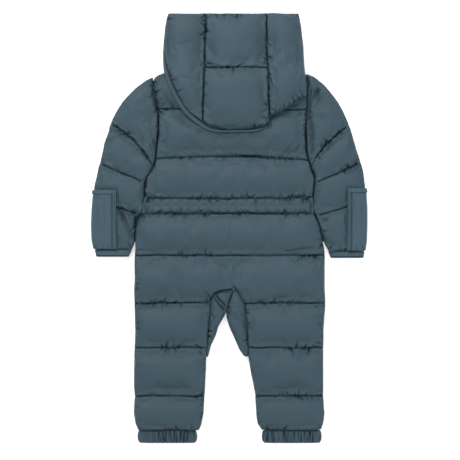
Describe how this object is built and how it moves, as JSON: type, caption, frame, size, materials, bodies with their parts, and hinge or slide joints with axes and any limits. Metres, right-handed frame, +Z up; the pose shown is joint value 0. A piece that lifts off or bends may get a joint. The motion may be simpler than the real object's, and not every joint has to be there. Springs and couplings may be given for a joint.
{
  "type": "baby snowsuit",
  "caption": "Hooded one-piece padded snowsuit for a baby, quilted across, laid flat with its front down and its hood up.",
  "frame": {"origin": "on the surface that the front lies on, under the middle of the garment's bounding box", "axes": "+Y towards the hood, +Z up from the surface out of the garment's back, +X to the wearer's right"},
  "size_m": [0.4864, 0.7543, 0.0431],
  "materials": {
    "shell": "matte woven nylon",
    "binding": "matte elastic binding",
    "zip_tape": "woven tape",
    "zip_metal": "satin paint"
  },
  "bodies": {
    "garment": {"bodice_back": "shell", "waist_casing": "shell", "trouser_back": "shell", "gusset_left": "shell", "gusset_right": "shell", "front_left": "shell", "front_right": "shell", "sleeve_left": "shell", "sleeve_right": "shell", "mitt_left": "shell", "mitt_right": "shell", "leg_cuff_left": "shell", "leg_cuff_right": "shell", "hood_left": "shell", "hood_centre": "shell", "hood_right": "shell", "hood_front": "shell", "mitt_binding_left": "binding", "mitt_binding_right": "binding", "sleeve_cuff_left": "binding", "sleeve_cuff_right": "binding", "hood_rim": "binding", "front_zip": "zip_tape", "zip_slider": "zip_metal"},
    "pull": {"zip_pull": "zip_metal"}
  },
  "joints": [
    {"name": "zip_pull_swing", "type": "hinge", "parent": "garment", "child": "pull", "pos_m": [0.003, 0.219, 0.0032], "axis": [1, 0, 0], "range_deg": [0, 165]}
  ]
}
